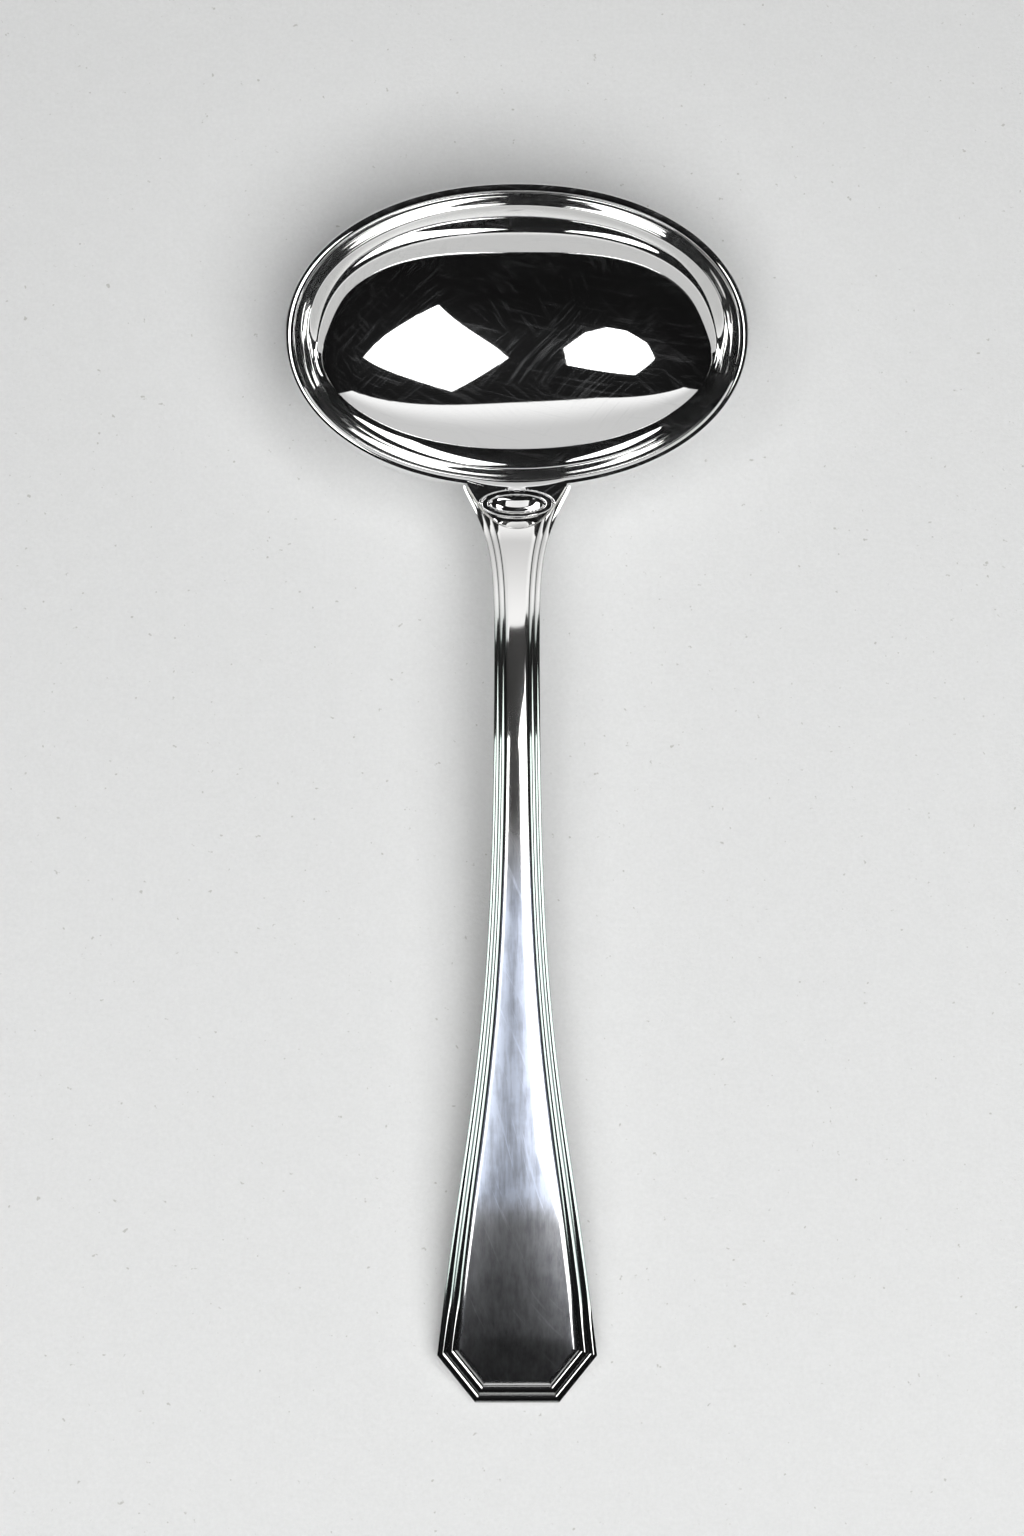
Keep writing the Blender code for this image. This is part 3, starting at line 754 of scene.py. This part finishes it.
def make_bowl_room():
    """Cutter: the room that the bowl, its tongue and the solder take up, open upwards."""
    top = LIP_Z + CUTTER_HEIGHT
    shell = outside(FIT_GAP)
    rows = []
    for column in rim_columns(FIT_GAP):
        x = column.cx * shell.half_width
        y = BOWL_CENTRE_Y + column.cy * shell.half_span - column.reach
        rows.append([Vector((x, y, top))] + outer_points(column, FIT_GAP, POCKET_DEPTH, ROOM_RINGS))
    middle = Vector((0.0, BOWL_CENTRE_Y, top))
    foot = Vector((0.0, BOWL_CENTRE_Y, 0.0))
    mesh = closed_mesh("bowl_room", *capped_grid(rows, middle, foot))
    room = bpy.data.objects.new("bowl_room", mesh)
    bpy.context.collection.objects.link(room)
    return room


def make_solder_seam():
    """Solder under the tongue, risen round its edge to a seam that lies just below the surface."""
    film_top = LIP_Z - TONGUE_THICK - FIT_GAP
    film_bottom = film_top - SOLDER_THICK
    inner = SEAM_SLIVER
    outer = FIT_GAP - SEAM_SLIVER
    wall = outside(FIT_GAP)
    loops = []
    for first, last in zip(tongue_columns(inner), tongue_columns(outer)):
        if first.reach < SEAM_LEAST_REACH:
            continue
        edge = LIP_Z - hollow_drop(first, 1.0)
        levels = (
            (None, film_top), (inner, film_top), (inner, edge - 2 * SEAM_SINK),
            (outer, edge - SEAM_SINK), (outer, film_bottom), (None, film_bottom),
        )
        loop = []
        for grow, z in levels:
            column = first if grow in (None, inner) else last
            shell = outside(grow) if grow else wall
            reach = column.reach if grow else 0.0
            y = BOWL_CENTRE_Y + column.cy * shell.half_span - reach
            loop.append((column.cx * shell.half_width, y, z))
        loops.append(loop)
    count = len(loops[0])
    last = (len(loops) - 1) * count
    faces = [tuple(range(count)), tuple(range(last, last + count))]
    for start in range(0, last, count):
        for j in range(count):
            after = (j + 1) % count
            faces.append((start + j, start + after, start + count + after, start + count + j))
    points = [point for loop in loops for point in loop]
    mesh = closed_mesh("solder_seam", points, faces)
    mesh.transform(LAID)
    return linked("solder_seam", mesh, dull_solder())


def flare_growth(s):
    """Nothing along the waist, then a smooth bend into a straight flare."""
    return math.log1p(math.exp((s - HANDLE_LENGTH + FLARE_FROM_END) / FLARE_SOFTNESS))


def flare_swell(s):
    """How much fuller than straight the flare's side is."""
    return FLARE_SWELL * math.exp(-(((s - HANDLE_LENGTH + SWELL_FROM_END) / SWELL_RUN) ** 2))


def half_width(s):
    """Half the handle's width at a distance from the lip."""
    waist = WAIST_WIDTH / 2
    neck = (NECK_WIDTH / 2 - waist) * math.exp(-((max(s, 0.0) / NECK_RUN) ** NECK_CURVE))
    straight = END_WIDTH / 2 - waist - flare_swell(CLIP_AT)
    return waist + neck + flare_growth(s) / flare_growth(CLIP_AT) * straight + flare_swell(s)


def side_slope(s):
    """How fast the handle widens at a distance from the lip."""
    return (half_width(s + NEARBY) - half_width(s - NEARBY)) / (2 * NEARBY)


def top_line(s):
    """Height of the handle's panel: up the neck, along the stem and over to its end."""
    slopes = (
        (-ROOT_BITE, 0.0),
        (0.0, 0.0),
        (RISE_AT, RISE_SLOPE),
        (STEM_AT, STEM_SLOPE),
        (HANDLE_LENGTH - BEND_FROM_END, STEM_SLOPE),
        (HANDLE_LENGTH - TIP_FROM_END, TIP_SLOPE),
        (HANDLE_LENGTH, TIP_SLOPE),
    )
    return LIP_Z + ROOT_STAND + climb(slopes, s)


def smooth_step(share):
    share = min(1.0, max(0.0, share))
    return share * share * (3 - 2 * share)


def heel_share(s):
    """1 at the lip, and nothing once the heel has tapered off."""
    return math.exp(-((max(s, 0.0) / HEEL_RUN) ** 2))


def bottom_line(s):
    """Height of the underside: the stem thins towards its end, and the heel thickens the root."""
    thin_from = HANDLE_LENGTH - THIN_FROM_END
    thinned = smooth_step((s - THICK_UNTIL) / (thin_from - THICK_UNTIL))
    thickness = STEM_THICK + (END_THICK - STEM_THICK) * thinned
    heel = top_line(0.0) - STEM_THICK - (LIP_Z - POCKET_DEPTH - HEEL_METAL)
    return top_line(s) - thickness - heel * heel_share(s)


def border_rows(s):
    """Distance in from the edge and height against the panel, in thread widths."""
    crisp = smooth_step((s - WEAR_ENDS[0]) / (WEAR_ENDS[1] - WEAR_ENDS[0]))
    rise = THREAD_RISE + (END_RISE - THREAD_RISE) * crisp
    stand = PANEL_STAND + (END_STAND - PANEL_STAND) * crisp
    rows = []
    for i in range(THREADS * THREAD_POINTS):
        thread, point = divmod(i, THREAD_POINTS)
        share = point / THREAD_POINTS
        rows.append((thread + share, THREAD_STEP * thread - stand + rise * math.sin(math.pi * share)))
    groove = THREAD_STEP * THREADS - stand
    for i in range(SLOPE_POINTS + 1):
        share = i / SLOPE_POINTS
        rows.append((THREADS + PANEL_SLOPE * share, groove * (1 - share) ** SLOPE_EASE))
    return rows


def thread_width(x):
    """Width of a thread where the handle is this wide from its middle to its side."""
    return THREAD_LEAST + THREAD_GROWTH * 2 * x


def mitre(first, second):
    """The way in from a corner that keeps the border's rows as far from one side as from the other."""
    share = 1 + first[0] * second[0] + first[1] * second[1]
    return (first[0] + second[0]) / share, (first[1] + second[1]) / share


def handle_stations():
    """One side of the handle's outline from root to end, with the way in that its threads follow."""
    root_end = RISE_AT + NECK_RUN / 2
    border = (THREADS + PANEL_SLOPE) * thread_width(END_WIDTH / 2)
    stem_end = CLIP_AT - 2 * border * CLIP_LENGTH / (CLIP_LENGTH + END_WIDTH)
    distances = [-ROOT_BITE + (root_end + ROOT_BITE) * i / ROOT_STATIONS for i in range(ROOT_STATIONS)]
    distances += [root_end + (stem_end - root_end) * i / STEM_STATIONS for i in range(STEM_STATIONS + 1)]
    stations = []
    for s in distances:
        x = half_width(s)
        stations.append(Station(x, s, -math.hypot(1, side_slope(s)), 0.0, thread_width(x)))
    widest = half_width(CLIP_AT)
    thread = thread_width(widest)
    clip_x = END_EDGE / 2 - widest
    clip = math.hypot(clip_x, CLIP_LENGTH)
    clip_in = (-CLIP_LENGTH / clip, clip_x / clip)
    side = math.hypot(1, side_slope(CLIP_AT))
    side_in = (-1 / side, side_slope(CLIP_AT) / side)
    end_in = (0.0, -1.0)
    stations.append(Station(widest, CLIP_AT, *mitre(side_in, clip_in), thread))
    stations.append(Station(END_EDGE / 2, HANDLE_LENGTH, *mitre(clip_in, end_in), thread))
    return stations


def handle_section(station):
    """Half a section as two rows of points from the edge in: over the border, and round the underside."""
    over = []
    for out, level in border_rows(station.s):
        inset = out * station.thread
        s = station.s + station.inward_s * inset
        over.append((station.x + station.inward_x * inset, s, top_line(s) + level * station.thread))
    thickness = top_line(station.s) - bottom_line(station.s)
    round_share = UNDERSIDE_ROUND + (HEEL_ROUND - UNDERSIDE_ROUND) * heel_share(station.s)
    round_height = round_share * thickness
    round_inset = min(round_height, UNDERSIDE_INSET * station.x)
    under = []
    for step in range(UNDER_STEPS + 1):
        turn = math.pi / 2 * step / UNDER_STEPS
        inset = round_inset * (1 - math.cos(turn))
        s = station.s + station.inward_s * inset
        lift = round_height * (1 - math.sin(turn))
        under.append((station.x + station.inward_x * inset, s, bottom_line(s) + lift))
    return over, under


def moved_across(point, share, crown):
    """A point on the line over to the handle's other side, from share 1 at this side to -1 at the other."""
    x, s, z = point
    grown = smooth_step((s - CROWN_BEGINS) / CROWN_GROWS)
    left = smooth_step((HANDLE_LENGTH - s) / CROWN_FADE - 1)
    return (x * share, s, z + crown * x * (1 - share * share) * left * grown)


def border_marks():
    """For each row of the border: how far it is panel, how far threads, and how deep in a groove. The outer
    edge is marked as a groove too, which paints a shaded line along it.
    """
    marks = []
    for out, _ in border_rows(HANDLE_LENGTH):
        # Edge 0 is the outer edge, not a groove: its mark paints a dark line of shade there
        nearest = min(abs(out - edge) for edge in range(THREADS + 1))
        panel = max(0.0, (out - THREADS) / PANEL_SLOPE)
        marks.append((panel, 1 - panel, max(0.0, 1 - nearest / GROOVE_REACH)))
    return marks


def make_handle():
    """Sections lofted from root to end, closed by a cap in the bowl's room and by the straight end edge."""
    shares = [1 - 2 * (i + 1) / (PANEL_COLUMNS + 1) for i in range(PANEL_COLUMNS)]
    loops = []
    for over, under in [handle_section(station) for station in handle_stations()]:
        loop = over + [moved_across(over[-1], share, PANEL_CROWN) for share in shares]
        loop += [moved_across(point, -1, 0.0) for point in reversed(over)]
        loop += [moved_across(point, -1, 0.0) for point in under]
        loop += [moved_across(under[-1], -share, 0.0) for share in shares]
        loops.append(loop + under[::-1])
    count = len(loops[0])
    faces = [tuple(range(count))]
    for first in range(0, (len(loops) - 1) * count, count):
        for j in range(count):
            after = (j + 1) % count
            faces.append((first + j, first + after, first + count + after, first + count + j))

    over_rows = len(over)
    under_rows = len(under)
    end_lines = []
    for j in range(over_rows - 1, -under_rows - 1, -1):
        end_lines.append([j % count, (2 * over_rows + PANEL_COLUMNS - 1 - j) % count])
    end_lines[0][1:1] = range(over_rows, over_rows + PANEL_COLUMNS)
    end_lines[-1][1:1] = range(count - under_rows - 1, count - under_rows - 1 - PANEL_COLUMNS, -1)
    last = (len(loops) - 1) * count
    for upper, lower in zip(end_lines, end_lines[1:]):
        faces.append([last + j for j in upper + lower[::-1]])

    points = [Vector((x, LIP_Y - s, z)) for loop in loops for x, s, z in loop]
    handle = linked("threaded_handle", closed_mesh("threaded_handle", points, faces), threaded_silver())
    cut(handle, make_bowl_room())
    marks = border_marks()
    row_marks = marks + [(1.0, 0.0, 0.0)] * PANEL_COLUMNS + marks[::-1]
    row_marks += [(0.0, 0.0, 0.0)] * (count - len(row_marks))
    mark_handle(handle.data, points, row_marks)
    lay_down(handle.data)
    keep_corners_crisp(handle.data, [LAID @ point for point in points[last - count:]], over_rows)
    return handle


def lay_down(mesh):
    """Lays the mesh on the table, grinds a flat where it rests and keeps it inside the solids' box."""
    mesh.transform(LAID)
    shape = bmesh.new()
    shape.from_mesh(mesh)
    trimmed = bmesh.ops.bisect_plane(
        shape,
        geom=[*shape.verts, *shape.edges, *shape.faces],
        dist=NEAR_TABLE,
        plane_co=(0.0, 0.0, 0.0),
        plane_no=(0.0, 0.0, 1.0),
        clear_inner=True,
    )
    rim = [element for element in trimmed["geom_cut"] if isinstance(element, bmesh.types.BMEdge)]
    bmesh.ops.edgeloop_fill(shape, edges=rim)
    bmesh.ops.recalc_face_normals(shape, faces=shape.faces)
    for vertex in shape.verts:
        vertex.co = [min(max(at, low), high) for at, low, high in zip(vertex.co, *cad_box)]
    shape.to_mesh(mesh)
    shape.free()
    mesh.shade_smooth()
    mesh.set_sharp_from_angle(angle=CRISP_ANGLE)


def cut(obj, cutter):
    """Takes the cutter's shape out of the object, for good."""
    modifier = obj.modifiers.new("room_for_" + cutter.name, "BOOLEAN")
    modifier.operation = "DIFFERENCE"
    modifier.solver = "EXACT"
    modifier.object = cutter
    evaluated = obj.evaluated_get(bpy.context.evaluated_depsgraph_get())
    mesh = bpy.data.meshes.new_from_object(evaluated)
    obj.modifiers.clear()
    obj.data = mesh
    bpy.data.objects.remove(cutter, do_unlink=True)
    mesh.shade_smooth()
    mesh.set_sharp_from_angle(angle=CRISP_ANGLE)


def mark_handle(mesh, points, row_marks):
    """Writes on each point of the mesh how far it is panel, threads and groove, from the loft's rows."""
    tree = kdtree.KDTree(len(points))
    for i, point in enumerate(points):
        tree.insert(point, i)
    tree.balance()
    kinds = [mesh.attributes.new(name, "FLOAT", "POINT") for name in HANDLE_MARKS]
    for vertex in mesh.vertices:
        row = tree.find(vertex.co)[1] % len(row_marks)
        for kind, mark in zip(kinds, row_marks[row]):
            kind.data[vertex.index].value = mark


def keep_corners_crisp(mesh, corner_points, over_rows):
    """The threads meet at a crisp line where the outline turns a corner."""
    count = len(corner_points) // 2
    corners = {}
    for i, point in enumerate(corner_points):
        row = i % count
        if row < over_rows or over_rows + PANEL_COLUMNS <= row < 2 * over_rows + PANEL_COLUMNS:
            corners[tuple(round(part, PLACE_DIGITS) for part in point)] = i // count
    places = [tuple(round(part, PLACE_DIGITS) for part in vertex.co) for vertex in mesh.vertices]
    station_of = [corners.get(place) for place in places]
    for edge in mesh.edges:
        first, second = (station_of[i] for i in edge.vertices)
        if first is not None and first == second:
            edge.use_edge_sharp = True


def studio_point(x, y, z):
    """A place in the studio, measured from under the middle of the level bowl."""
    return LAID @ Vector((x, BOWL_CENTRE_Y + y, z))


def overhead(tilt_x, tilt_y):
    """The place at the studio's height that lies at these tilts from straight above the bowl."""
    x = math.tan(math.radians(tilt_x)) * STUDIO_HEIGHT
    y = math.tan(math.radians(tilt_y)) * STUDIO_HEIGHT
    return studio_point(x, y, STUDIO_HEIGHT)


def hung_panel(name, points, material):
    """A flat panel of the studio, seen by the ladle and not by the camera."""
    mesh = bpy.data.meshes.new(name)
    mesh.from_pydata(points, [], [tuple(range(len(points)))])
    panel = linked(name, mesh, material)
    panel.visible_camera = False
    return panel


def make_studio():
    """A pale cloth, two lamps overhead, one on the near side and a folded backdrop at the far side."""
    half = FLOOR_SIZE / 2
    mesh = bpy.data.meshes.new("cloth")
    corners = [(-half, -half), (half, -half), (half, half), (-half, half)]
    mesh.from_pydata([(x, y, -FLOOR_SINK) for x, y in corners], [], [(0, 1, 2, 3)])
    linked("cloth", mesh, pale_cloth())
    lamp = glow("lamp_glow", LAMP_STRENGTH)
    hung_panel("right_lamp", [overhead(*tilts) for tilts in RIGHT_LAMP], lamp)
    hung_panel("left_lamp", [overhead(*tilts) for tilts in LEFT_LAMP], lamp)
    top = BACKDROP_AT / math.tan(math.radians(BACKDROP_TILT))
    bright_from = BACKDROP_AT / math.tan(math.radians(BACKDROP_BRIGHT_TILT))
    left, fold, right = BACKDROP_PLACES
    glow_heights = [studio_point(0.0, BACKDROP_AT, z).z for z in (bright_from, top)]
    screen = backdrop_glow(*glow_heights)
    for name, ends in (("left_backdrop", (left, fold)), ("right_backdrop", (fold, right))):
        places = [(x, BACKDROP_AT + BACKDROP_FOLD * abs(x - fold)) for x in ends]
        feet = [studio_point(x, y, BACKDROP_FOOT) for x, y in places]
        tops = [studio_point(x, y, top) for x, y in places]
        backdrop = hung_panel(name, feet + tops[::-1], screen)
        backdrop.visible_diffuse = False
    facing = Vector(NEAR_LAMP).to_track_quat("Z", "Y").to_matrix()
    width, height = NEAR_LAMP_SIZE
    corners = [(-width, -height), (width, -height), (width, height), (-width, height)]
    panel = [Vector(NEAR_LAMP) + facing @ Vector((x / 2, y / 2, 0.0)) for x, y in corners]
    near_lamp = hung_panel("near_lamp", panel, glow("near_glow", NEAR_LAMP_STRENGTH))
    near_lamp.visible_glossy = False
    set_room()


def make_camera():
    data = bpy.data.cameras.new("camera")
    data.sensor_fit = "VERTICAL"
    data.sensor_height = CAMERA_FILM
    data.lens = CAMERA_LENS
    camera = bpy.data.objects.new("camera", data)
    mouth = Vector((0.0, BOWL_CENTRE_Y, LIP_Z))
    place = Matrix.Translation(mouth + Vector(CAMERA_PLACE))
    camera.matrix_world = LAID @ place @ Matrix.Rotation(CAMERA_TIP, 4, "X")
    bpy.context.collection.objects.link(camera)
    bpy.context.scene.camera = camera


make_camera()
make_studio()
bpy.context.scene.view_settings.view_transform = "Standard"

bowl = make_bowl()
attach(bowl, "root")
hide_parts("bowl")

handle = make_handle()
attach(handle, "root")
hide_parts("handle")

seam = make_solder_seam()
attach(seam, "root")
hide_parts("solder_film")
